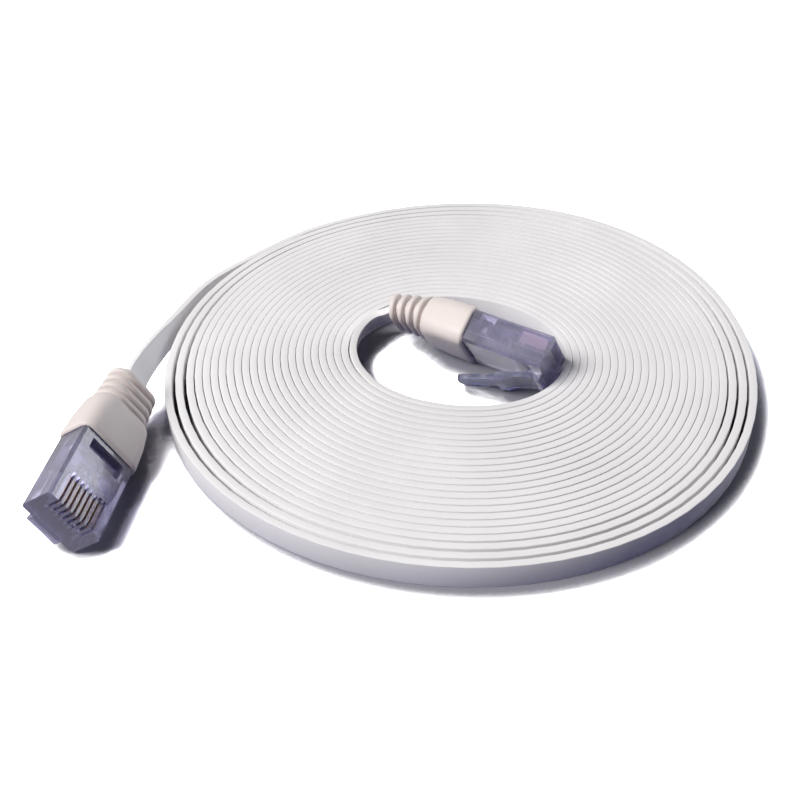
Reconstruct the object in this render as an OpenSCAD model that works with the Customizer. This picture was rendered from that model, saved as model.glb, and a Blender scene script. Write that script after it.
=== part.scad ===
// Flat ethernet patch cable, wound on its edge into a flat spiral coil.
// Plug A lies beside the coil, plug B lies in the hole at its middle.
// Millimetres, +Z up. The origin is the middle of the footprint, on the surface.

/* [Cable] */
// width of the flat cable, which is the height of the coil
cable_w = 4.5; // [4.3:0.1:5]
// thickness of the flat cable
cable_t = 0.9; // [0.8:0.05:0.9]
// bevel along the cable's edges
cable_bevel = 0.25; // [0.1:0.05:0.35]
// diameter of one insulated conductor
wire_d = 0.38; // [0.3:0.02:0.4]
// spacing of the conductors in the flat cable
wire_pitch = 0.5; // [0.45:0.01:0.52]

/* [Coil] */
// mean radius of the innermost loop
hole_r = 18.7; // [18.4:0.1:22]
// whole loops in the coil, before its last three quarters of a loop
loops = 23; // [10:1:23]
// mean free gap between neighbouring loops
turn_gap = 0.58; // [0.56:0.01:1.2]
// outermost loops, which lie looser
loose_loops = 3; // [1:1:5]
// mean free gap between them
loose_gap = 1.34; // [0.8:0.01:1.6]
// direction in which the innermost loop starts, in degrees
start_angle = 214; // [200:1:230]

/* [Plug] */
// width of the housing
plug_w = 11.68; // [11.5:0.01:11.8]
// height of the housing without its latch
plug_h = 6.6; // [6.4:0.05:6.8]
// length of the housing
plug_l = 21.46; // [20.5:0.02:23]
// bevel along the housing's edges
plug_bevel = 0.5; // [0.4:0.05:0.6]
// number of contacts and conductors
contacts = 8; // [8]
// spacing of the contacts
contact_pitch = 1.02; // [1:0.01:1.03]
// thickness of a contact blade
blade_t = 0.32; // [0.25:0.01:0.36]
// length of a contact blade
blade_l = 5.2; // [4.6:0.1:5.4]
// height of a contact blade's plate
blade_h = 2.1; // [1.8:0.1:2.2]
// radius of the round shoulder on a contact blade
blade_round = 0.8; // [0.5:0.05:1]
// distance from the housing's nose to the blades
blade_inset = 0.9; // [0.6:0.1:1.2]
// depth of the blades' top edges under the housing's face
blade_sink = 0.7; // [0.5:0.05:0.9]
// depth of a contact slot under the blades' top edges
slot_depth = 1.6; // [1.4:0.05:1.8]
// width of a contact slot
slot_w = 0.6; // [0.5:0.02:0.66]
// width of the hollow in the housing's rear
cavity_w = 9.4; // [9:0.1:9.8]
// height of the hollow in the housing's rear
cavity_h = 2.7; // [2.5:0.1:2.9]
// height of the hollow's floor over the housing's underside
floor_t = 2.1; // [1.8:0.1:2.2]
// distance from the nose to the hollow
cavity_x = 6.9; // [6.8:0.1:7.5]
// length of the wire guide
guide_l = 1.8; // [1.4:0.1:2]
// height of the wire guide
guide_h = 2; // [1.6:0.1:2.2]
// distance from the nose to the cable's end in the housing
jacket_x = 11.4; // [11.3:0.1:13]
// length of the bar that grips the cable's end
grip_l = 1.8; // [1.2:0.1:2.2]
// length of the window over that bar
window_l = 3.2; // [2.8:0.1:3.6]
// width of the window over that bar
window_w = 7.2; // [6:0.1:8]

/* [Latch] */
// distance from the nose to the latch's root
root_x = 2; // [1.8:0.1:2.6]
// radius of the latch's round root
root_r = 0.8; // [0.7:0.05:0.9]
// width of the latch up to its locking shoulders
latch_w = 5.8; // [5.4:0.1:6.2]
// width of the latch's tail
tail_w = 3.2; // [3:0.1:3.6]
// length from the root to the locking shoulders
shoulder_l = 6.6; // [6:0.1:7.2]
// length from the root to the end of the tail
latch_l = 14.2; // [12:0.1:14.4]
// thickness of the latch
latch_t = 1; // [0.8:0.05:1.1]
// height of the locking shoulders over the tail
shoulder_h = 0.6; // [0.4:0.05:0.8]
// angle between the free latch and the housing
latch_angle = 20; // [17:1:21]
// bevel at the end of the latch's tail
tail_bevel = 0.7; // [0.4:0.05:1]

/* [Boot] */
// distance from the nose to the boot's front edge
boot_x = 16; // [15.8:0.1:17]
// wall of the boot round the housing
boot_wall = 0.75; // [0.7:0.05:0.9]
// width of the boot's sleeve at its rear
boot_rear_w = 12; // [11.8:0.1:12.6]
// height of the boot's sleeve at its rear
boot_rear_h = 7.8; // [7.6:0.1:8.2]
// step from the sleeve down to the strain relief, on each side
neck_step = 0.4; // [0.2:0.05:0.6]
// distance from the nose to the ribbed strain relief
relief_x = 25.5; // [25:0.1:26]
// length of the ribbed strain relief
relief_l = 8.4; // [7:0.1:10]
// ribs on the strain relief
ribs = 4; // [3:1:5]
// length of a groove between two ribs
groove_l = 0.8; // [0.6:0.05:1]
// depth of the grooves
groove_d = 0.9; // [0.5:0.05:1]
// width of the strain relief's last rib
relief_end_w = 9.4; // [8:0.1:10]
// height of the strain relief's last rib
relief_end_h = 5.2; // [4.8:0.1:5.6]
// bevel along the boot's edges
boot_bevel = 1.5; // [1:0.1:1.5]
// bevel along the boot's front edge
mouth_bevel = 0.3; // [0.2:0.05:0.5]

/* [Lay] */
// height of plug A's middle over the surface
plug_a_z = 7; // [7:0.05:7.5]
// how far plug A's nose lies to the left of the coil's outer end
plug_a_left = 33.1; // [32.9:0.1:33.3]
// how far plug A's nose lies in front of the coil's outer end
plug_a_front = 92.4; // [92.2:0.1:92.6]
// direction from plug A's nose to its boot, in degrees
plug_a_heading = 81.5; // [80:0.5:83]
// roll of plug A about its own length
plug_a_roll = 56; // [54:1:57]
// bend of plug A's strain relief
plug_a_bend = 6; // [2:1:10]
// height of plug B's middle over the surface
plug_b_z = 7; // [7:0.05:7.5]
// how far plug B's nose lies to the right of the coil's inner end
plug_b_right = 32.6; // [32.2:0.1:32.6]
// how far plug B's nose lies behind the coil's inner end
plug_b_back = 2.5; // [2.4:0.1:2.8]
// direction from plug B's nose to its boot, in degrees
plug_b_heading = 148; // [146:1:150]
// roll of plug B about its own length
plug_b_roll = 55; // [53:1:57]
// bend of plug B's strain relief
plug_b_bend = 24; // [20:1:28]

/* [Hidden] */
$fn = 32;
eps = 0.01;

// clearance of a seated piece and of the latch's round root
seat = 0.05;
root_seat = 0.05;
// overhang of that root beyond the latch on each side
root_over = 0.2;

// the coil's middle, counted from the middle of the footprint
coil_at = [7.57, -0.35, 0];

// the coil: its loops swell and shift a little, so the radius follows the angle
// the swells are radial shares of one, two and three waves round the loop
rings_per_loop = 24;
turns = loops + 0.75;
tight_turns = turns - loose_loops;
steps = turns * rings_per_loop;
half_t = cable_t / 2;
half_w = cable_w / 2;
tight_l = tight_turns * (cable_t + turn_gap);
loose_l = loose_loops * (cable_t + loose_gap);
inner_swell = [-0.4, 0.5, 1.5, -0.7, 0];
outer_swell = [0.2, -0.2, 0, 1.25, -0.6];
tight_share = 0.7;

function swell(k, a) =
    k[0] * cos(a) + k[1] * sin(a) + k[2] * cos(2 * a) + k[3] * sin(2 * a) + k[4] * cos(3 * a);
function coil_angle(i) = start_angle + i * 360 / rings_per_loop;
function coil_growth(i) =
    lookup(i / rings_per_loop, [[0, 0], [tight_turns, tight_l], [turns, tight_l + loose_l]]);
function coil_share(i) =
    lookup(i / rings_per_loop, [[0, 0], [tight_turns, tight_share], [turns, 1]]);
function coil_radius(i) =
    let (u = coil_share(i), a = coil_angle(i))
    hole_r + coil_growth(i) + swell(inner_swell, a) * (1 - u) + swell(outer_swell, a) * u;
function coil_point(i) =
    let (a = coil_angle(i), r = coil_radius(i))
    [r * cos(a), r * sin(a), half_w];
function unit(v) = v / norm(v);
function coil_heading(i) = unit(coil_point(i + 0.5) - coil_point(i - 0.5));

// both ends of the coil run straight for one cable thickness
coil_start = coil_point(0) - coil_heading(0) * cable_t;
coil_stop = coil_point(steps) + coil_heading(steps) * cable_t;

// the noses of the plugs, which keep their places beside the coil's ends
plug_a_at = [coil_stop.x - plug_a_left, coil_stop.y - plug_a_front, plug_a_z];
plug_b_at = [coil_start.x + plug_b_right, coil_start.y + plug_b_back, plug_b_z];

coil_path = concat([coil_start], [for (i = [0:steps]) coil_point(i)], [coil_stop]);
coil_way = concat([coil_heading(0)], [for (i = [0:steps]) coil_heading(i)], [coil_heading(steps)]);

// section of the cable as [across its thickness, across its width]
// the coil's section is flat where it stands, and beveled along its top
coil_section = [
    [-half_t, -half_w],
    [half_t, -half_w],
    [half_t, half_w - cable_bevel],
    [half_t - cable_bevel, half_w],
    [cable_bevel - half_t, half_w],
    [-half_t, half_w - cable_bevel]
];
lead_section = [
    [-half_t, cable_bevel - half_w],
    [cable_bevel - half_t, -half_w],
    [half_t - cable_bevel, -half_w],
    [half_t, cable_bevel - half_w],
    [half_t, half_w - cable_bevel],
    [half_t - cable_bevel, half_w],
    [cable_bevel - half_t, half_w],
    [-half_t, half_w - cable_bevel]
];

// one ring of a section at p, square to its way, turned about it by a roll
function ring(p, way, roll, section) =
    let (
        left = unit([-way.y, way.x, 0]),
        up = cross(way, left),
        w = left * cos(roll) + up * sin(roll),
        n = up * cos(roll) - left * sin(roll)
    )
    [for (q = section) p + n * q.x + w * q.y];

// triangles of a closed tube of m rings with n sides
function tube_faces(m, n) = concat(
    [for (i = [0:m - 2], j = [0:n - 1]) [i * n + j, i * n + (j + 1) % n, (i + 1) * n + j]],
    [for (i = [0:m - 2], j = [0:n - 1])
        [i * n + (j + 1) % n, (i + 1) * n + (j + 1) % n, (i + 1) * n + j]],
    [for (j = [1:n - 2]) [0, j + 1, j]],
    [for (j = [1:n - 2]) [(m - 1) * n, (m - 1) * n + j, (m - 1) * n + j + 1]]
);

// measures of the coil: its length, and the least gap between neighbouring loops
function to_segment(p, a, b) =
    let (t = max(0, min(1, (p - a) * (b - a) / ((b - a) * (b - a)))))
    norm(p - a - (b - a) * t);
function side_point(i, side) =
    let (h = coil_heading(i))
    coil_point(i) + [h.y, -h.x, 0] * side * half_t;
function loop_gap(i) =
    let (j = i + rings_per_loop, p = side_point(i, 1), q = side_point(j, -1))
    min(
        to_segment(p, side_point(j - 1, -1), q),
        to_segment(p, q, side_point(j + 1, -1)),
        to_segment(q, side_point(i, 1), side_point(i + 1, 1))
    );
least_gap = min([for (i = [0:steps - rings_per_loop - 1]) loop_gap(i)]);
coil_length = 2 * cable_t + [for (i = [0:steps - 1]) norm(coil_point(i + 1) - coil_point(i))]
    * [for (i = [0:steps - 1]) 1];
echo(least_gap_between_loops = least_gap, coil_length = coil_length);

// the plug's own frame: x from its nose to its boot, z towards its contacts
face_z = plug_h / 2;
blade_top = face_z - blade_sink;
blade_low = blade_top - blade_h;
slot_floor = blade_top - slot_depth;
cavity_floor = floor_t - face_z;
cavity_top = cavity_floor + cavity_h;
guide_x = cavity_x + seat;
guide_z = cavity_floor + seat + guide_h / 2;
wire_z = guide_z;
channel_r = wire_d / 2 + seat;
jacket_z = cavity_floor + seat + half_t;
grip_x = jacket_x + 1;
window_x = grip_x - (window_l - grip_l) / 2;
root_z = -face_z - root_r - root_seat;
lug_low = root_z - root_r - root_seat;
lug_back = root_x - root_r - root_seat;
grip_z = jacket_z + half_t + eps;
grip_rise = 0.7;
relief_end = relief_x + relief_l;

// across[k] is the place of contact k across the plug, for a given spacing
function across(k, pitch) = (k - (contacts - 1) / 2) * pitch;

// a point s along the boot's middle, which bends away from the contacts
// after relief_x, and the way that it runs there
function bent(s, bend) = s <= relief_x ? 0 : bend * (s - relief_x) / relief_l;
function middle(s, bend) =
    s <= relief_x ? [s, 0, 0] :
    let (r = relief_l / (bend * PI / 180), b = bent(s, bend))
    [relief_x + r * sin(b), 0, -r * (1 - cos(b))];
function middle_way(s, bend) = [cos(bent(s, bend)), 0, -sin(bent(s, bend))];

// the cable lies on the hollow's floor and rises to the boot's middle
function rise(s) =
    s <= boot_x ? 1 : s >= relief_x ? 0 : (1 + cos(180 * (s - boot_x) / (relief_x - boot_x))) / 2;
function cable_middle(s, bend) = middle(s, bend) + [0, 0, jacket_z * rise(s)];
function cable_way(s, bend) =
    s <= boot_x ? [1, 0, 0] :
    s >= relief_x ? middle_way(s, bend) :
    unit(cable_middle(s + 0.1, 0) - cable_middle(s - 0.1, 0));

// from the plug's own frame to the coil's
function turned(v, roll, heading) =
    let (y = v.y * cos(roll) - v.z * sin(roll), z = v.y * sin(roll) + v.z * cos(roll))
    [v.x * cos(heading) - y * sin(heading), v.x * sin(heading) + y * cos(heading), z];
exit_a = plug_a_at + turned(middle(relief_end, plug_a_bend), plug_a_roll, plug_a_heading);
exit_b = plug_b_at + turned(middle(relief_end, plug_b_bend), plug_b_roll, plug_b_heading);
way_a = turned(middle_way(relief_end, plug_a_bend), plug_a_roll, plug_a_heading);
way_b = turned(middle_way(relief_end, plug_b_bend), plug_b_roll, plug_b_heading);

// routes of the two leads from boot to coil, counted from the coil's end,
// as [x, y, lift over the lying cable, roll]
outer_route = [
    [-27.95, -54.55, 4.15, 58],
    [-27.4, -50.15, 3.6, 61],
    [-26.75, -45.75, 2.85, 66],
    [-26, -41.35, 2, 72],
    [-25.15, -36.95, 1.15, 79],
    [-24.2, -32.55, 0.5, 85],
    [-23, -28.15, 0.15, 89],
    [-21.3, -23.65, 0.05, 90],
    [-18.8, -19.25, 0.05, 90],
    [-15.5, -15.15, 0.05, 90],
    [-11.8, -11.15, 0.05, 90],
    [-8.1, -7.35, 0.05, 90],
    [-4.2, -3.55, 0.05, 90]
];
inner_route = [
    [1.6, 19.4, 3.35, 58],
    [0, 19.15, 2.9, 62],
    [-1.4, 18.35, 2.5, 66],
    [-2.55, 17.1, 2.05, 70],
    [-3.4, 15.55, 1.65, 74],
    [-4, 13.85, 1.25, 78],
    [-4.3, 12.1, 0.85, 82],
    [-4.35, 10.3, 0.55, 85],
    [-4.1, 8.5, 0.3, 87],
    [-3.65, 6.75, 0.15, 89],
    [-3, 5, 0.05, 90],
    [-2.1, 3.25, 0.05, 90],
    [-1.1, 1.55, 0.05, 90]
];

module tube(path, ways, rolls, section) {
    rings = [for (i = [0:len(path) - 1]) ring(path[i], ways[i], rolls[i], section)];
    polyhedron(
        points = [for (r = rings, p = r) p],
        faces = tube_faces(len(path), len(section))
    );
}

// a lead runs from its boot's end face to the coil's end face, square to both
module lead(from, way, roll, route, to, to_way) {
    path = concat([from], [for (p = route) to + [p.x, p.y, p.z]], [to]);
    n = len(path);
    ways = [for (i = [0:n - 1]) i == 0 ? way : i == n - 1 ? to_way : unit(path[i + 1] - path[i - 1])];
    rolls = concat([roll], [for (p = route) p[3]], [90]);
    tube(path, ways, rolls, lead_section);
}

// a bar along x with beveled edges
module bar_x(x0, x1, w, h, bevel) {
    translate([x0, 0, 0]) rotate([90, 0, 90]) linear_extrude(x1 - x0) polygon([
        [bevel - w / 2, -h / 2],
        [w / 2 - bevel, -h / 2],
        [w / 2, bevel - h / 2],
        [w / 2, h / 2 - bevel],
        [w / 2 - bevel, h / 2],
        [bevel - w / 2, h / 2],
        [-w / 2, h / 2 - bevel],
        [-w / 2, bevel - h / 2]
    ]);
}

// a profile in x and z, extruded across the plug
module across_y(w, points) {
    translate([0, w / 2, 0]) rotate([90, 0, 0]) linear_extrude(w) polygon(points);
}

module box_at(x0, x1, w, z0, z1) {
    translate([x0, -w / 2, z0]) cube([x1 - x0, w, z1 - z0]);
}

module plug_a_place() {
    translate(coil_at + plug_a_at) rotate([plug_a_roll, 0, plug_a_heading]) children();
}

module plug_b_place() {
    translate(coil_at + plug_b_at) rotate([plug_b_roll, 0, plug_b_heading]) children();
}

// clear housing, with its slots, wire channels, rear hollow and grip bar
// a cut that opens to the outside runs on past the face by one millimetre
module housing() {
    lug_w = latch_w + 2 * (root_over + root_seat);
    lug_bevel = 0.3;
    slot_end = blade_inset + blade_l + 0.3;
    grip_end = grip_x + grip_l;
    color([0.78, 0.78, 0.93, 0.6]) {
        difference() {
            union() {
                bar_x(0, plug_l, plug_w, plug_h, plug_bevel);
                across_y(lug_w, [
                    [0, plug_bevel - face_z],
                    [0, lug_low + lug_bevel],
                    [lug_bevel, lug_low],
                    [lug_back - lug_bevel, lug_low],
                    [lug_back, root_z - root_r / 2],
                    [root_x, root_z - root_r / 2],
                    [root_x, plug_bevel - face_z]
                ]);
            }
            translate([root_x, 0, root_z]) rotate([90, 0, 0])
                cylinder(r = root_r + root_seat, h = lug_w + 2, center = true);
            for (k = [0:contacts - 1]) translate([0, across(k, contact_pitch), 0]) {
                box_at(-1, slot_end, slot_w, slot_floor, face_z + 1);
                box_at(blade_inset - eps, blade_inset + blade_l + eps, blade_t + 2 * eps,
                    wire_z, slot_floor + eps);
                translate([blade_inset, 0, wire_z]) rotate([0, 90, 0])
                    cylinder(r = channel_r, h = cavity_x);
            }
            box_at(cavity_x, plug_l + 1, cavity_w, cavity_floor, cavity_top);
            box_at(window_x, window_x + window_l, window_w, cavity_floor + cavity_h / 2, face_z + 1);
        }
        across_y(cavity_w + 0.2, [
            [grip_x, grip_z],
            [grip_x + grip_l * 0.6, grip_z],
            [grip_end, cavity_top],
            [grip_end, cavity_top + grip_rise],
            [grip_x, cavity_top + grip_rise]
        ]);
    }
}

// latch tab at rest: round root, beam with locking shoulders, and narrow tail
module latch() {
    ramp_x = shoulder_l * 0.4;
    ramp_end = shoulder_l * 0.8;
    color([0.72, 0.72, 0.93, 0.6]) translate([root_x, 0, root_z]) {
        rotate([90, 0, 0]) cylinder(r = root_r, h = latch_w + 2 * root_over, center = true);
        rotate([0, latch_angle, 0]) {
            across_y(latch_w, [
                [0, latch_t / 2],
                [0, -latch_t / 2],
                [ramp_x, -latch_t / 2],
                [ramp_end, -latch_t / 2 - shoulder_h],
                [shoulder_l, -latch_t / 2 - shoulder_h],
                [shoulder_l, latch_t / 2]
            ]);
            translate([0, 0, -latch_t / 2]) linear_extrude(latch_t) polygon([
                [shoulder_l - 1, -tail_w / 2],
                [latch_l - tail_bevel, -tail_w / 2],
                [latch_l, tail_bevel - tail_w / 2],
                [latch_l, tail_w / 2 - tail_bevel],
                [latch_l - tail_bevel, tail_w / 2],
                [shoulder_l - 1, tail_w / 2]
            ]);
        }
    }
}

// contact blade k: a plate with a rounded shoulder and two prongs on its wire
module contact(k) {
    foot = wire_z + wire_d / 2 + eps;
    prong = 0.4;
    prong_x = [1.4, blade_l - 1];
    color([0.93, 0.74, 0.35]) translate([blade_inset, across(k, contact_pitch), 0])
        across_y(blade_t, concat(
            [[0, blade_low]],
            [for (a = [180:-15:90]) [0, blade_top - blade_round]
                + blade_round * [1 + cos(a), sin(a)]],
            [
                [blade_l, blade_top],
                [blade_l, blade_low],
                [prong_x[1] + prong, blade_low],
                [prong_x[1], foot],
                [prong_x[1] - prong, blade_low],
                [prong_x[0] + prong, blade_low],
                [prong_x[0], foot],
                [prong_x[0] - prong, blade_low]
            ]
        ));
}

// conductor k: from the cable's end, fanned out to its guide hole and channel
module wire(k) {
    from = across(k, wire_pitch);
    to = across(k, contact_pitch);
    path = [
        [jacket_x, from, jacket_z],
        [jacket_x - 0.3, from, jacket_z],
        [guide_x + guide_l + 0.2, to, wire_z],
        [blade_inset + 0.4, to, wire_z]
    ];
    ways = [[-1, 0, 0], unit(path[2] - path[0]), unit(path[3] - path[1]), [-1, 0, 0]];
    section = [for (j = [0:7]) wire_d / 2 * [cos(45 * j + 22.5), sin(45 * j + 22.5)]];
    tube(path, ways, [0, 0, 0, 0], section);
}

// wire colours in the order of the contacts
wire_colors = [
    [0.95, 0.8, 0.65],
    [0.9, 0.5, 0.15],
    [0.75, 0.88, 0.75],
    [0.2, 0.35, 0.75],
    [0.72, 0.8, 0.93],
    [0.2, 0.6, 0.3],
    [0.85, 0.76, 0.68],
    [0.45, 0.28, 0.18]
];

// wire guide: the block whose eight holes carry the conductors
module wire_guide() {
    color([0.9, 0.9, 0.95, 0.7]) difference() {
        box_at(guide_x, guide_x + guide_l, cavity_w - 2 * seat,
            guide_z - guide_h / 2, guide_z + guide_h / 2);
        for (k = [0:contacts - 1])
            translate([guide_x - 1, across(k, contact_pitch), wire_z]) rotate([0, 90, 0])
                cylinder(r = channel_r, h = guide_l + 2);
    }
}

// the cable's end, from the conductors' fan to the boot's end face
module cable_end(bend, grow = 0) {
    s = concat(
        [jacket_x],
        [for (k = [0:5]) boot_x + k * (relief_x - boot_x) / 5],
        [for (k = [1:4]) relief_x + k * relief_l / 4]
    );
    path = [for (v = s) cable_middle(v, bend)];
    ways = [for (v = s) cable_way(v, bend)];
    section = [for (q = lead_section) [q.x + sign(q.x) * grow, q.y + sign(q.y) * grow]];
    color([0.93, 0.91, 0.91]) tube(path, ways, [for (v = s) 0], section);
}

// moulded boot: a sleeve round the housing's rear, then a tapered, ribbed relief
// half sizes of its sleeve and of its relief at s, as [across, up]
function blend(a, b, u) = a + (b - a) * u;
function sleeve_half(s) = blend(
    [plug_w / 2 + boot_wall, face_z + boot_wall],
    [boot_rear_w / 2, boot_rear_h / 2],
    (s - boot_x) / (relief_x - boot_x)
);
function relief_half(s) = blend(
    [boot_rear_w / 2 - neck_step, boot_rear_h / 2 - neck_step],
    [relief_end_w / 2, relief_end_h / 2],
    (s - relief_x) / relief_l
);
module boot(bend) {
    pitch = relief_l / ribs;
    neck_l = 0.5;
    least_flat = 0.6;
    stations = concat(
        [
            [boot_x, sleeve_half(boot_x) - [mouth_bevel, mouth_bevel]],
            [boot_x + mouth_bevel, sleeve_half(boot_x + mouth_bevel)],
            [relief_x - neck_l, sleeve_half(relief_x - neck_l)],
            [relief_x, relief_half(relief_x)]
        ],
        [for (k = [0:ribs - 1], e = [[0, groove_d], [groove_l, groove_d], [groove_l, 0], [pitch, 0]])
            let (s = relief_x + k * pitch + e[0]) [s, relief_half(s) - [e[1], e[1]]]]
    );
    rings = [for (t = stations)
        let (
            h = t[1],
            b = min(boot_bevel, h.y - least_flat),
            section = [
                [-h.y, b - h.x], [b - h.y, -h.x], [h.y - b, -h.x], [h.y, b - h.x],
                [h.y, h.x - b], [h.y - b, h.x], [b - h.y, h.x], [-h.y, h.x - b]
            ]
        )
        ring(middle(t[0], bend), middle_way(t[0], bend), 0, section)];
    color([0.95, 0.92, 0.89]) difference() {
        polyhedron(points = [for (r = rings, p = r) p], faces = tube_faces(len(rings), 8));
        bar_x(boot_x - 1, plug_l + seat, plug_w + 2 * eps, plug_h + 2 * eps, plug_bevel);
        cable_end(bend, eps);
    }
}

// the coil: one unbroken flat tube, wound outwards on its edge
module coil() {
    color([0.93, 0.91, 0.91]) translate(coil_at)
        tube(coil_path, coil_way, [for (p = coil_path) 90], coil_section);
}

module outer_lead() {
    color([0.93, 0.91, 0.91]) translate(coil_at)
        lead(exit_a, way_a, plug_a_roll, outer_route, coil_stop, -coil_heading(steps));
}

module inner_lead() {
    color([0.93, 0.91, 0.91]) translate(coil_at)
        lead(exit_b, way_b, plug_b_roll, inner_route, coil_start, coil_heading(0));
}

coil();
outer_lead();
inner_lead();

plug_a_place() housing();  // plug_a_housing
plug_a_place() latch();  // plug_a_latch
plug_a_place() boot(plug_a_bend);  // plug_a_boot
plug_a_place() cable_end(plug_a_bend);  // plug_a_cable_end
plug_a_place() wire_guide();  // plug_a_wire_guide
for (k = [0:contacts - 1]) {
    plug_a_place() contact(k);
    plug_a_place() color(wire_colors[k]) wire(k);
}

plug_b_place() housing();  // plug_b_housing
plug_b_place() latch();  // plug_b_latch
plug_b_place() boot(plug_b_bend);  // plug_b_boot
plug_b_place() cable_end(plug_b_bend);  // plug_b_cable_end
plug_b_place() wire_guide();  // plug_b_wire_guide
for (k = [0:contacts - 1]) {
    plug_b_place() contact(k);
    plug_b_place() color(wire_colors[k]) wire(k);
}
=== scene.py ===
"""Looks of the flat ethernet patch cable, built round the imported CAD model.

Places and lengths are in metres in the CAD frame; those written in millimetres are
multiplied by MM. A plug's own frame is in millimetres instead: x runs from its nose
to its boot, and z towards its contacts. Values are the CAD source's, except where a
comment calls them the scene's own.
"""

import math

import bmesh
import bpy
from mathutils import Matrix, Vector


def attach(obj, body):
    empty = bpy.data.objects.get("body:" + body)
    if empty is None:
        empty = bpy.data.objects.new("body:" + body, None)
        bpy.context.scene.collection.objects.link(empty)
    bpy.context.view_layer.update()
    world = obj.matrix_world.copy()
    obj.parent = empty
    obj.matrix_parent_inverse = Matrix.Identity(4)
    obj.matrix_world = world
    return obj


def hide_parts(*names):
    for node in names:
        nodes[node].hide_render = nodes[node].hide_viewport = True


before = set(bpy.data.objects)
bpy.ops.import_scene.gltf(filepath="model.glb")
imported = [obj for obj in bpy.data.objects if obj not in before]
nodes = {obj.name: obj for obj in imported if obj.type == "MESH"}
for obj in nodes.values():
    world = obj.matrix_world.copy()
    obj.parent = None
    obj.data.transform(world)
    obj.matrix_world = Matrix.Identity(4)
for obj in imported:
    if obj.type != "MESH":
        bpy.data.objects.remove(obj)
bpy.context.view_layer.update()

MM = 0.001
BODY = "cable"

# ---------------------------------------------------------------- camera
CAMERA_AT = (-0.00384, -0.17463, 0.135)
CAMERA_DOWN = 39.3  # degrees below the horizon
CAMERA_LENS = 51.75  # mm
CAMERA_SENSOR = 36  # mm
CAMERA_SEES = (0.005, 20)  # nearest and farthest, in metres


def make_camera():
    data = bpy.data.cameras.new("camera")
    data.lens = CAMERA_LENS
    data.sensor_width = CAMERA_SENSOR
    data.clip_start, data.clip_end = CAMERA_SEES
    camera = bpy.data.objects.new("camera", data)
    camera.location = CAMERA_AT
    camera.rotation_euler = (math.radians(90 - CAMERA_DOWN), 0, 0)
    bpy.context.scene.collection.objects.link(camera)
    bpy.context.scene.camera = camera


make_camera()

# ---------------------------------------------------------------- the coil's middle line
CABLE_W = 4.5 * MM
CAD_CABLE_T = 0.9 * MM
HOLE_R = 18.7 * MM
LOOPS, LAST_PART_LOOP, LOOSE_LOOPS = 23, 0.75, 3
TURN_GAP, LOOSE_GAP = 0.58 * MM, 1.34 * MM
START_ANGLE = math.radians(214)
CAD_RINGS = 24  # rings of a loop in the CAD solid
# how far the coil isn't round: cos a, sin a, cos 2a, sin 2a, cos 3a
INNER_SWELL = [v * MM for v in (-0.4, 0.5, 1.5, -0.7, 0)]
OUTER_SWELL = [v * MM for v in (0.2, -0.2, 0, 1.25, -0.6)]
TIGHT_SHARE = 0.7  # of the change from the inner swell to the outer one
COIL_AT = Vector((7.57, -0.35, 0)) * MM

TURNS = LOOPS + LAST_PART_LOOP
TIGHT_TURNS = TURNS - LOOSE_LOOPS
TIGHT_L = TIGHT_TURNS * (CAD_CABLE_T + TURN_GAP)
LOOSE_L = LOOSE_LOOPS * (CAD_CABLE_T + LOOSE_GAP)


def swell(k, a):
    return (
        k[0] * math.cos(a)
        + k[1] * math.sin(a)
        + k[2] * math.cos(2 * a)
        + k[3] * math.sin(2 * a)
        + k[4] * math.cos(3 * a)
    )


def coil_point(turn):
    """Middle of the cable after so many turns of the coil, seen from the coil's middle."""
    loose = turn - TIGHT_TURNS
    if loose < 0:
        growth = TIGHT_L * turn / TIGHT_TURNS
        u = TIGHT_SHARE * turn / TIGHT_TURNS
    else:
        growth = TIGHT_L + LOOSE_L * loose / LOOSE_LOOPS
        u = TIGHT_SHARE + (1 - TIGHT_SHARE) * loose / LOOSE_LOOPS
    a = START_ANGLE + turn * math.tau
    r = HOLE_R + growth + swell(INNER_SWELL, a) * (1 - u) + swell(OUTER_SWELL, a) * u
    return Vector((r * math.cos(a), r * math.sin(a), CABLE_W / 2))


def coil_heading(turn):
    half = 0.5 / CAD_RINGS
    return (coil_point(turn + half) - coil_point(turn - half)).normalized()


coil_start = coil_point(0) - coil_heading(0) * CAD_CABLE_T
coil_stop = coil_point(TURNS) + coil_heading(TURNS) * CAD_CABLE_T

# ---------------------------------------------------------------- the plugs' places
PLUG_A_FROM_COIL = Vector((-33.1, -92.4)) * MM  # from the coil's outer end
PLUG_B_FROM_COIL = Vector((32.6, 2.5)) * MM  # from its inner end
PLUG_Z = 7 * MM

PLUG_W, PLUG_H, PLUG_L = 11.68, 6.6, 21.46
BOOT_X, BOOT_WALL = 16, 0.75
BOOT_REAR_W, BOOT_REAR_H = 12, 7.8
RELIEF_X, RIBS = 25.5, 4
NECK_STEP = 0.4
RELIEF_END_W, RELIEF_END_H = 10.2, 5.4  # the scene's own


def round_rect(half_x, half_y, r, arc):
    """Points round a rectangle with rounded corners of arc steps each."""
    points = []
    for k, (sx, sy) in enumerate(((1, 1), (-1, 1), (-1, -1), (1, -1))):
        for j in range(arc + 1):
            a = math.radians(90 * k + 90 * j / arc)
            x = sx * (half_x - r) + r * math.cos(a)
            y = sy * (half_y - r) + r * math.sin(a)
            points.append((x, y))
    return points


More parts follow.
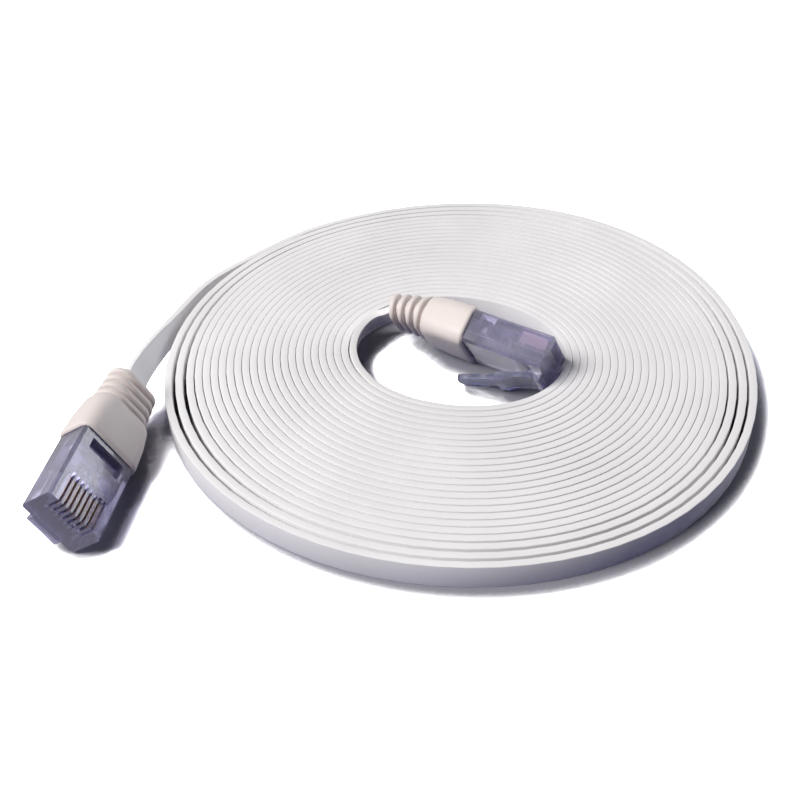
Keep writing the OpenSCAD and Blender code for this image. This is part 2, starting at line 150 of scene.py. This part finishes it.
class Plug:
    """Where a plug lies, and the way of its boot.

    The strain relief bends away from the contacts, or towards them if bend is negative.
    """

    CORNER_ARC = 6  # steps round a corner of the boot
    LEAST_FLAT = 0.05  # left of each side between two corners

    def __init__(self, letter, heading, roll, bend, relief_l, at):
        self.letter = letter
        self.roll = roll
        self.relief_l = relief_l
        self.bend_r = relief_l / math.radians(bend)
        turned = Matrix.Rotation(math.radians(heading), 4, "Z")
        rolled = Matrix.Rotation(math.radians(roll), 4, "X")
        self.place = Matrix.Translation(at) @ turned @ rolled @ Matrix.Scale(MM, 4)

    def middle(self, s):
        """Point and direction of the boot's middle at s mm behind the nose."""
        if s <= RELIEF_X:
            return Vector((s, 0, 0)), Vector((1, 0, 0))
        b = (s - RELIEF_X) / self.bend_r
        point = Vector((RELIEF_X + self.bend_r * math.sin(b), 0, -self.bend_r * (1 - math.cos(b))))
        return point, Vector((math.cos(b), 0, -math.sin(b)))

    def ring(self, s, half_w, half_h, r, lift=0.0):
        """A rounded rectangle across the boot, in the CAD frame."""
        middle, way = self.middle(s)
        across = Vector((0, 1, 0))
        up = way.cross(across)
        r = min(r, half_w - self.LEAST_FLAT, half_h - self.LEAST_FLAT)
        outline = round_rect(half_w, half_h, r, self.CORNER_ARC)
        return [self.place @ (middle + across * y + up * (z + lift)) for y, z in outline]


def plug_at(coil_end, away):
    return COIL_AT + Vector((*(coil_end.xy + away), PLUG_Z))


# the bends of both reliefs and the length of plug B's are the scene's own
plug_a = Plug("a", heading=81.5, roll=56, bend=-2, relief_l=8.4, at=plug_at(coil_stop, PLUG_A_FROM_COIL))
plug_b = Plug("b", heading=148, roll=55, bend=13, relief_l=7.6, at=plug_at(coil_start, PLUG_B_FROM_COIL))

# ---------------------------------------------------------------- the leads' routes
# from each plug to the coil, counted from the coil's end: x, y, lift, roll
OUTER_ROUTE = (
    (-27.95, -54.55, 4.15, 58),
    (-27.4, -50.15, 3.6, 61),
    (-26.75, -45.75, 2.85, 66),
    (-26, -41.35, 2, 72),
    (-25.15, -36.95, 1.15, 79),
    (-24.2, -32.55, 0.5, 85),
    (-23, -28.15, 0.15, 89),
    (-21.3, -23.65, 0.05, 90),
    (-18.8, -19.25, 0.05, 90),
    (-15.5, -15.15, 0.05, 90),
    (-11.8, -11.15, 0.05, 90),
    (-8.1, -7.35, 0.05, 90),
    (-4.2, -3.55, 0.05, 90),
)
INNER_ROUTE = (
    (1.6, 19.4, 3.35, 58),
    (0, 19.15, 2.9, 62),
    (-1.4, 18.35, 2.5, 66),
    (-2.55, 17.1, 2.05, 70),
    (-3.4, 15.55, 1.65, 74),
    (-4, 13.85, 1.25, 78),
    (-4.3, 12.1, 0.85, 82),
    (-4.35, 10.3, 0.55, 85),
    (-4.1, 8.5, 0.3, 87),
    (-3.65, 6.75, 0.15, 89),
    (-3, 5, 0.05, 90),
    (-2.1, 3.25, 0.05, 90),
    (-1.1, 1.55, 0.05, 90),
)
ON_EDGE = 90  # roll of the cable in the coil


def hermite(p, q, a, b, t):
    """Point at t on the cubic from p to q that leaves with a and arrives with b."""
    return (
        p * (2 * t**3 - 3 * t**2 + 1)
        + a * (t**3 - 2 * t**2 + t)
        + q * (3 * t**2 - 2 * t**3)
        + b * (t**3 - t**2)
    )


def smooth_route(points, rolls, way_in, way_out, step):
    """Points and rolls every step or so along a smooth curve through the points."""
    ways = [way_in * (points[1] - points[0]).length]
    ways += [(b - a) / 2 for a, b in zip(points, points[2:])]
    ways.append(way_out * (points[-1] - points[-2]).length)
    route = []
    for i in range(len(points) - 1):
        p, q = points[i], points[i + 1]
        parts = max(2, round((q - p).length / step))
        for k in range(parts):
            t = k / parts
            eased = t * t * (3 - 2 * t)
            roll = rolls[i] + (rolls[i + 1] - rolls[i]) * eased
            route.append((hermite(p, q, ways[i], ways[i + 1], t), roll))
    route.append((points[-1], rolls[-1]))
    return route


def lead(plug, route, to, way_out):
    """Points of a lead from its boot to the coil, with the cable's roll."""
    end, way = plug.middle(RELIEF_X + plug.relief_l)
    points = [plug.place @ end]
    points += [COIL_AT + to + Vector(p[:3]) * MM for p in route]
    points.append(COIL_AT + to)
    rolls = [plug.roll] + [p[3] for p in route] + [ON_EDGE]
    way_in = (plug.place.to_3x3() @ way).normalized()
    return smooth_route(points, rolls, way_in, way_out, LEAD_STEP)


# ---------------------------------------------------------------- the visible cable
# All values here are the scene's own. The visible ribbon is thicker than its CAD solid,
# whose loops have to stay apart, and its outer loops grow inwards, so that they stay
# inside the solid's outline.
CABLE_T = 1.34 * MM
CABLE_EDGE = 0.12 * MM  # radius of its edges
EDGE_ARC = 3  # steps round an edge
RINGS_PER_LOOP = 72
LEAD_STEP = 0.9 * MM
INWARD = 0.17 * MM  # of the last loop, everywhere
INWARD_AT_SIDES = 0.55 * MM  # and this more at the box's four sides
EVENING, EVENING_IN_FRONT = 0.25, 0.5  # of the loose gaps, and more in front and behind


def evened(turn):
    """The loose gaps spread over more loops in front and behind, as the loops lie there."""
    p = coil_point(turn)
    if turn < TIGHT_TURNS:
        late = LOOSE_LOOPS * turn / TURNS
    else:
        late = TIGHT_TURNS * (TURNS - turn) / TURNS
    share = EVENING + EVENING_IN_FRONT * (p.y / p.length) ** 2
    shift = (LOOSE_GAP - TURN_GAP) * late * share
    return COIL_AT + p + Vector((p.x, p.y, 0)).normalized() * shift


def inward(p, share):
    """How far the ribbon is set inwards from its track, in a loop that far out."""
    x, y = (p - COIL_AT).xy.normalized()
    return (INWARD + INWARD_AT_SIDES * (x * x - y * y) ** 2) * share


def cable_track():
    """Points from plug A to plug B, each with the cable's roll and its shift inwards."""
    outer = lead(plug_a, OUTER_ROUTE, coil_stop, -coil_heading(TURNS))
    inner = lead(plug_b, INNER_ROUTE, coil_start, coil_heading(0))
    count = int(TURNS * RINGS_PER_LOOP)
    loops = [evened(i / RINGS_PER_LOOP) for i in range(count + 1)]
    last_shift = inward(loops[-1], 1)
    track = [(p, roll, last_shift * i / len(outer)) for i, (p, roll) in enumerate(outer)]
    track += [(loops[i], ON_EDGE, inward(loops[i], i / count)) for i in range(count, -1, -1)]
    # the inner lead's roll is seen from plug B, the track's from plug A
    track += [(p, 180 - roll, 0) for p, roll in inner[::-1]]
    return track


def ribbon_rings(track, section):
    """The cable's section set across the track at each of its points."""
    rings = []
    for i, (p, roll, shift) in enumerate(track):
        before = track[max(i - 1, 0)][0]
        after = track[min(i + 1, len(track) - 1)][0]
        way = (after - before).normalized()
        left = Vector((-way.y, way.x, 0)).normalized()
        up = way.cross(left)
        c, s = math.cos(math.radians(roll)), math.sin(math.radians(roll))
        broad = left * c + up * s
        thin = up * c - left * s
        rings.append([p + thin * (x + shift) + broad * y for x, y in section])
    return rings


# ---------------------------------------------------------------- mesh helpers
SHARP_FROM = math.radians(40)  # edges that turn by more than this stay sharp


def new_object(name, mesh):
    obj = bpy.data.objects.new(name, mesh)
    bpy.context.scene.collection.objects.link(obj)
    return obj


def ring_uvs(mesh, rings):
    """UVs in metres along the rings and from 0 to 1 round them."""
    n = len(rings[0])
    along = [0.0]
    for a, b in zip(rings, rings[1:]):
        along.append(along[-1] + (b[0] - a[0]).length)
    layer = mesh.uv_layers.new(name="UVMap")
    for face in mesh.polygons:
        corners = [divmod(mesh.loops[k].vertex_index, n) for k in face.loop_indices]
        wraps = any(j == n - 1 for ring, j in corners)
        for k, (ring, j) in zip(face.loop_indices, corners):
            layer.data[k].uv = (along[ring], 1 if wraps and j == 0 else j / n)


def loft(name, rings, back_to_first=False):
    """A closed smooth mesh skinned over rings that all have the same number of points."""
    n, m = len(rings[0]), len(rings)
    faces = []
    for i in range(m if back_to_first else m - 1):
        a, b = i * n, (i + 1) % m * n
        for j in range(n):
            k = (j + 1) % n
            faces.append((a + j, b + j, b + k, a + k))
    if not back_to_first:
        faces.append(tuple(range(n)))
        faces.append(tuple((m - 1) * n + j for j in reversed(range(n))))
    mesh = bpy.data.meshes.new(name)
    mesh.from_pydata([tuple(p) for ring in rings for p in ring], [], faces)
    if not back_to_first:
        ring_uvs(mesh, rings)
    bm = bmesh.new()
    bm.from_mesh(mesh)
    bmesh.ops.recalc_face_normals(bm, faces=bm.faces)
    bm.to_mesh(mesh)
    bm.free()
    mesh.update()
    mesh.shade_smooth()
    mesh.set_sharp_from_angle(angle=SHARP_FROM)
    return new_object(name, mesh)


track = cable_track()
cable_section = round_rect(CABLE_T / 2, CABLE_W / 2, CABLE_EDGE, EDGE_ARC)
cable = loft("flat_cable", ribbon_rings(track, cable_section))
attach(cable, BODY)
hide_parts("coil", "outer_lead", "inner_lead")

# ---------------------------------------------------------------- materials
# noise scales are per metre, and bump heights in metres


def math_node(tree, operation, a, b):
    node = tree.nodes.new("ShaderNodeMath")
    node.operation = operation
    for socket, value in zip(node.inputs, (a, b)):
        if isinstance(value, (int, float)):
            socket.default_value = value
        else:
            tree.links.new(value, socket)
    return node.outputs[0]


class Nodes:
    """A material's node tree, with short calls to make and join nodes."""

    DETAIL = 3  # of every noise

    def __init__(self, name):
        self.material = bpy.data.materials.new(name)
        self.material.use_nodes = True
        self.tree = self.material.node_tree
        self.shader = self.tree.nodes["Principled BSDF"]
        self.output = self.tree.nodes["Material Output"]

    def add(self, kind, **values):
        node = self.tree.nodes.new(kind)
        for key, value in values.items():
            setattr(node, key, value)
        return node

    def join(self, a, b):
        self.tree.links.new(a, b)

    def noise(self, scale):
        where = self.add("ShaderNodeTexCoord")
        node = self.add("ShaderNodeTexNoise")
        node.inputs["Scale"].default_value = scale
        node.inputs["Detail"].default_value = self.DETAIL
        self.join(where.outputs["Object"], node.inputs["Vector"])
        return node.outputs["Fac"]

    def ramp(self, fac, low, high, start=0.35, stop=0.65):
        node = self.add("ShaderNodeValToRGB")
        ends = node.color_ramp.elements
        ends[0].position, ends[1].position = start, stop
        ends[0].color, ends[1].color = (*low, 1), (*high, 1)
        self.join(fac, node.inputs["Fac"])
        return node.outputs["Color"]

    def vary(self, socket, scale, low, high):
        """Drives a socket of the shader by noise, between two colours."""
        self.join(self.ramp(self.noise(scale), low, high), self.shader.inputs[socket])

    def vary_roughness(self, scale, low, high):
        self.vary("Roughness", scale, (low,) * 3, (high,) * 3)

    def bump(self, scale, strength, height):
        node = self.add("ShaderNodeBump")
        node.inputs["Strength"].default_value = strength
        node.inputs["Distance"].default_value = height
        self.join(self.noise(scale), node.inputs["Height"])
        self.join(node.outputs["Normal"], self.shader.inputs["Normal"])

    def set(self, **values):
        for key, value in values.items():
            self.shader.inputs[key.replace("_", " ")].default_value = value


def darker(color, by):
    return tuple(c * by for c in color)


def pvc(name, low, high, roughness):
    """Soft white plastic: faint change of colour, fine satin grain."""
    m = Nodes(name)
    m.vary("Base Color", 60, low, high)
    m.vary_roughness(225, roughness - 0.06, roughness + 0.06)
    m.set(IOR=1.5, Specular_IOR_Level=0.2)
    m.bump(900, strength=0.15, height=0.00005)
    return m.material


def clear(name, tint, roughness, clearness=0.8, shine=0.5):
    """Clear moulded polycarbonate."""
    m = Nodes(name)
    m.vary("Base Color", 90, darker(tint, 0.94), tint)
    m.vary_roughness(400, roughness * 0.6, roughness * 1.4)
    m.set(Transmission_Weight=clearness, IOR=1.58, Specular_IOR_Level=shine)
    m.bump(500, strength=0.1, height=0.00004)
    return m.material


def metal(name, color, roughness):
    m = Nodes(name)
    m.vary("Base Color", 1500, darker(color, 0.85), color)
    m.set(Metallic=1.0, Roughness=roughness)
    return m.material


def insulation(name, color):
    m = Nodes(name)
    m.vary("Base Color", 700, darker(color, 0.9), color)
    m.set(Roughness=0.4)
    m.bump(2500, strength=0.1, height=0.00002)
    return m.material


jacket = pvc("white_jacket", (0.82, 0.81, 0.82), (0.87, 0.86, 0.87), 0.5)
boot_material = pvc("boot_cream", (0.74, 0.675, 0.65), (0.78, 0.715, 0.69), 0.42)
housing_material = clear("clear_violet", (0.47, 0.45, 0.66), 0.12)
# the latch is the housing's violet plastic, its tint darkened far below the housing's as painted shade
# for the shaded underside where it lies
latch_painted_shade_material = clear("clear_violet_latch_painted_shade", (0.10, 0.105, 0.27), 0.18, clearness=0.7, shine=0.3)
guide_material = clear("clear_guide", (0.66, 0.65, 0.74), 0.25)
gold = metal("gold_plate", (0.62, 0.46, 0.32), 0.35)

WIRE_COLORS = (
    (0.85, 0.60, 0.40),
    (0.80, 0.30, 0.05),
    (0.60, 0.80, 0.60),
    (0.05, 0.12, 0.55),
    (0.55, 0.65, 0.88),
    (0.05, 0.35, 0.10),
    (0.75, 0.60, 0.48),
    (0.20, 0.08, 0.03),
)
wire_materials = [insulation(f"wire_{k + 1}", c) for k, c in enumerate(WIRE_COLORS)]

cable.data.materials.append(jacket)

# ---------------------------------------------------------------- boots
# Lengths are in mm in the plug's own frame, and the scene's own.
FRONT_CORNER, REAR_CORNER = 2.3, 3.3  # round edges along the boot
LEAST_CORNER = 0.3
RIM = 0.6  # round edge of its front and of its shoulder
SIDE_STEPS = 5  # from the front to the shoulder
RIB_EDGE = 0.45
GROOVE_L = 0.8
GROOVE_FLOOR = ((0.02, 1.0), (0.4, 1.02), (0.75, 0.95))  # place in the groove, depth
QUARTER = [(math.cos(a), math.sin(a)) for a in map(math.radians, (0, 30, 60, 90))]

FIT = 0.03  # gap to the housing and to the cable
SLIT_CORNER = 0.2  # in the channel of the cable
MOUTH_L, MOUTH_TAPER = 1, 0.2  # where the channel widens to the visible ribbon
MOUTH_LIP, LIP_L, LIP_CORNER = 0.25, 0.15, 0.4
CHANNEL_STEPS = 5
HOLLOW_CORNER = 0.8  # in the hollow for the housing
HOLLOW_GAP = 0.3  # from the channel's last regular step to the hollow
NARROW = 0.05  # bevels in the hollow are one or two of these
HOLLOW_FLARE_L = 0.15
FLOOR_T, SEAT = 2.1, 0.05  # under the cable in the housing, the CAD source's
JACKET_Z = FLOOR_T - PLUG_H / 2 + SEAT + CAD_CABLE_T / MM / 2


def boot_half(s, relief_l):
    """Half width and half height of the boot's outside at s mm behind the nose."""
    if s < RELIEF_X:
        u = (s - BOOT_X) / (RELIEF_X - BOOT_X)
        a = (PLUG_W / 2 + BOOT_WALL, PLUG_H / 2 + BOOT_WALL)
        b = (BOOT_REAR_W / 2, BOOT_REAR_H / 2)
    else:
        u = (s - RELIEF_X) / relief_l
        a = (BOOT_REAR_W / 2 - NECK_STEP, BOOT_REAR_H / 2 - NECK_STEP)
        b = (RELIEF_END_W / 2, RELIEF_END_H / 2)
    return a[0] + (b[0] - a[0]) * u, a[1] + (b[1] - a[1]) * u


def channel_lift(s):
    """Height of the cable's middle in the boot, which rises to 0 at the strain relief."""
    if s >= RELIEF_X:
        return 0
    return JACKET_Z * (1 + math.cos(math.pi * (s - BOOT_X) / (RELIEF_X - BOOT_X))) / 2


def boot_inside(plug):
    """Rings of the cable's channel, from the rear, and of the hollow for the housing."""
    half_w, half_h = PLUG_W / 2 + FIT, PLUG_H / 2 + FIT
    cable_w, cable_t = CABLE_W / MM / 2 + FIT, CAD_CABLE_T / MM / 2 + FIT
    ribbon_t = CABLE_T / MM / 2 + FIT
    end = RELIEF_X + plug.relief_l
    slit_start, slit_stop = end - MOUTH_L - MOUTH_TAPER, PLUG_L + HOLLOW_GAP
    rings = [plug.ring(end - MOUTH_L, cable_w, ribbon_t, SLIT_CORNER)]
    for k in range(CHANNEL_STEPS + 1):
        s = slit_start + (slit_stop - slit_start) * k / CHANNEL_STEPS
        rings.append(plug.ring(s, cable_w, cable_t, SLIT_CORNER, channel_lift(s)))
    bottom = PLUG_L + NARROW
    rings.append(plug.ring(bottom, cable_w, cable_t, SLIT_CORNER, channel_lift(PLUG_L)))
    hollow = (
        (bottom, -2 * NARROW),
        (PLUG_L - NARROW, 0),
        (BOOT_X + HOLLOW_FLARE_L, 0),
        (BOOT_X, NARROW),
    )
    for s, wider in hollow:
        rings.append(plug.ring(s, half_w + wider, half_h + wider, HOLLOW_CORNER))
    return rings


def boot_outside(plug):
    """Rings of the boot's outside, from its front over the sleeve and the ribs."""
    rings = []

    def add(s, inset):
        half_w, half_h = boot_half(s, plug.relief_l)
        u = min(max((s - PLUG_L) / (RELIEF_X - PLUG_L), 0), 1)
        corner = FRONT_CORNER + (REAR_CORNER - FRONT_CORNER) * u
        r = max(corner - inset, LEAST_CORNER)
        rings.append(plug.ring(s, half_w - inset, half_h - inset, r))

    for c, s in QUARTER:
        add(BOOT_X + RIM * (1 - c), RIM * (1 - s))
    side_l = RELIEF_X - BOOT_X - 2 * RIM
    for k in range(1, SIDE_STEPS + 1):
        add(BOOT_X + RIM + side_l * k / SIDE_STEPS, 0)
    half_w, half_h = BOOT_REAR_W / 2, BOOT_REAR_H / 2
    for c, s in QUARTER[1:]:
        inset = RIM * (1 - c)
        x = RELIEF_X - RIM * (1 - s)
        rings.append(plug.ring(x, half_w - inset, half_h - inset, REAR_CORNER - inset))

    pitch = plug.relief_l / RIBS
    edge = min(RIB_EDGE, (pitch - GROOVE_L) / 2)
    for k in range(RIBS):
        start = RELIEF_X + k * pitch
        for x, depth in GROOVE_FLOOR:
            add(start + x, depth)
        for c, s in QUARTER:
            add(start + GROOVE_L + edge * (1 - c), edge * (1 - s))
        for c, s in QUARTER:
            add(start + pitch - edge * (1 - s), edge * (1 - c))
    return rings


def boot_lip(plug):
    """The rings that round the mouth of the channel at the boot's rear."""
    end = RELIEF_X + plug.relief_l
    half_w, half_t = CABLE_W / MM / 2 + FIT, CABLE_T / MM / 2 + FIT
    return [
        plug.ring(end, half_w + MOUTH_LIP, half_t + MOUTH_LIP, LIP_CORNER),
        plug.ring(end - LIP_L, half_w, half_t, SLIT_CORNER),
    ]


def build_boot(plug):
    rings = boot_inside(plug) + boot_outside(plug) + boot_lip(plug)
    boot = loft(f"plug_{plug.letter}_boot_moulding", rings, back_to_first=True)
    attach(boot, BODY)
    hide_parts(f"plug_{plug.letter}_boot")
    boot.data.materials.append(boot_material)
    return boot


boots = {plug.letter: build_boot(plug) for plug in (plug_a, plug_b)}

# ---------------------------------------------------------------- the CAD nodes' looks
CONTACTS = 8


def dress(name, material):
    node = nodes[name]
    node.data.materials.clear()
    node.data.materials.append(material)


for letter in "ab":
    prefix = f"plug_{letter}_"
    dress(prefix + "housing", housing_material)
    dress(prefix + "latch", latch_painted_shade_material)
    dress(prefix + "cable_end", jacket)
    dress(prefix + "wire_guide", guide_material)
    for k in range(CONTACTS):
        dress(f"{prefix}contact_{k + 1}", gold)
        dress(f"{prefix}wire_{k + 1}", wire_materials[k])

# ---------------------------------------------------------------- the names of a plug's parts
parts_of_plug = ["housing", "latch", "cable_end", "wire_guide"]
parts_of_plug += [f"contact_{k + 1}" for k in range(CONTACTS)]
parts_of_plug += [f"wire_{k + 1}" for k in range(CONTACTS)]

# ---------------------------------------------------------------- floor
FLOOR_HALF = 1.2
FLOOR_WHITE = 0.95
FLOOR_LAYERS = 8  # brighten the floor for the camera, so that only close shadows stay
CLOSE_SHADOW = 6 * MM  # how far round the object it reaches
SHADOW_TOWARD = (-0.35, 0.45, 0.8)  # a place on the floor is shaded by what stands this way
SHADOW_FROM, SHADOW_TO = 0.45, 0.8  # share of open sky: full shadow, none
SHADOW_STEEPNESS = 3
SHADOW_COLOR = (0.25, 0.25, 0.29)
BOUNCE_COLOR = (0.06, 0.06, 0.18)  # dull blue as a source of bounced light
MIRRORED_COLOR = (0.90, 0.90, 0.92)
SEEN_IN_DIFFUSE = 0.8  # share of the white that clear pieces pass on to other surfaces


def in_mirror(tree, path):
    """1 for rays that come by a mirror or clear plastic, less after a diffuse surface."""
    either = math_node(
        tree, "MAXIMUM", path.outputs["Is Glossy Ray"], path.outputs["Is Transmission Ray"]
    )
    seen = math_node(tree, "LESS_THAN", path.outputs["Diffuse Depth"], 0.5)
    share = math_node(tree, "MAXIMUM", seen, SEEN_IN_DIFFUSE)
    return math_node(tree, "MULTIPLY", either, share)


def floor_material():
    """White to the camera and in reflections, with a close shadow round the object."""
    m = Nodes("white_floor")
    m.tree.nodes.remove(m.shader)

    def diffuse(*color):
        node = m.add("ShaderNodeBsdfDiffuse")
        node.inputs["Color"].default_value = (*color, 1)
        return node.outputs[0]

    def mix(fac, a, b):
        node = m.add("ShaderNodeMixShader")
        for socket, value in zip(node.inputs, (fac, a, b)):
            m.join(value, socket)
        return node.outputs[0]

    def total(a, b):
        node = m.add("ShaderNodeAddShader")
        m.join(a, node.inputs[0])
        m.join(b, node.inputs[1])
        return node.outputs[0]

    white = (FLOOR_WHITE,) * 3
    seen = diffuse(*white)
    for k in range(FLOOR_LAYERS - 1):
        seen = total(seen, diffuse(*white))
    toward = m.add("ShaderNodeCombineXYZ")
    for socket, value in zip(toward.inputs, SHADOW_TOWARD):
        socket.default_value = value
    near = m.add("ShaderNodeAmbientOcclusion", samples=16)
    near.inputs["Distance"].default_value = CLOSE_SHADOW
    m.join(toward.outputs[0], near.inputs["Normal"])
    black, full = (0, 0, 0), (1, 1, 1)
    openness = m.ramp(near.outputs["AO"], black, full, SHADOW_FROM, SHADOW_TO)
    openness = math_node(m.tree, "POWER", openness, SHADOW_STEEPNESS)
    seen = mix(openness, diffuse(*SHADOW_COLOR), seen)
    path = m.add("ShaderNodeLightPath")
    mirrored = in_mirror(m.tree, path)
    other = mix(mirrored, diffuse(*BOUNCE_COLOR), diffuse(*MIRRORED_COLOR))
    m.join(mix(path.outputs["Is Camera Ray"], other, seen), m.output.inputs["Surface"])
    return m.material


def make_floor():
    h = FLOOR_HALF
    mesh = bpy.data.meshes.new("floor")
    corners = [(-h, -h, 0), (h, -h, 0), (h, h, 0), (-h, h, 0)]
    mesh.from_pydata(corners, [], [(0, 1, 2, 3)])
    floor = new_object("floor", mesh)
    floor.data.materials.append(floor_material())


make_floor()

# ---------------------------------------------------------------- world and lights
SKY_COLOR, SKY_STRENGTH = (0.8, 0.8, 1.0), 0.07


def make_world():
    """A weak sky as light, white behind the object and in mirrors."""
    world = bpy.data.worlds.new("world")
    world.use_nodes = True
    bpy.context.scene.world = world
    tree = world.node_tree
    sky = tree.nodes["Background"]
    sky.inputs["Color"].default_value = (*SKY_COLOR, 1)
    sky.inputs["Strength"].default_value = SKY_STRENGTH
    white = tree.nodes.new("ShaderNodeBackground")
    white.inputs["Color"].default_value = (1, 1, 1, 1)
    white.inputs["Strength"].default_value = 1
    path = tree.nodes.new("ShaderNodeLightPath")
    shown = math_node(tree, "MAXIMUM", path.outputs["Is Camera Ray"], in_mirror(tree, path))
    mix = tree.nodes.new("ShaderNodeMixShader")
    tree.links.new(shown, mix.inputs["Fac"])
    tree.links.new(sky.outputs[0], mix.inputs[1])
    tree.links.new(white.outputs[0], mix.inputs[2])
    tree.links.new(mix.outputs[0], tree.nodes["World Output"].inputs["Surface"])


def area_light(name, toward, distance, size, power, color):
    """A soft light, size (wide, high), in the direction toward, facing the coil."""
    data = bpy.data.lights.new(name, "AREA")
    data.shape = "RECTANGLE"
    data.size, data.size_y = size
    data.energy = power
    data.color = color
    light = bpy.data.objects.new(name, data)
    direction = Vector(toward).normalized()
    light.location = direction * distance
    light.rotation_euler = direction.to_track_quat("Z", "Y").to_euler()
    bpy.context.scene.collection.objects.link(light)


make_world()
area_light(
    "key",
    toward=(-0.60, -0.305, 0.74),
    distance=1.2,
    size=(0.5, 0.5),
    power=16.6,
    color=(1.0, 0.985, 0.96),
)
area_light(
    "rim",
    toward=(0.72, 0.67, 0.22),
    distance=1.2,
    size=(1.0, 0.5),
    power=6.5,
    color=(0.93, 0.95, 1.0),
)

bpy.context.scene.view_settings.view_transform = "Standard"
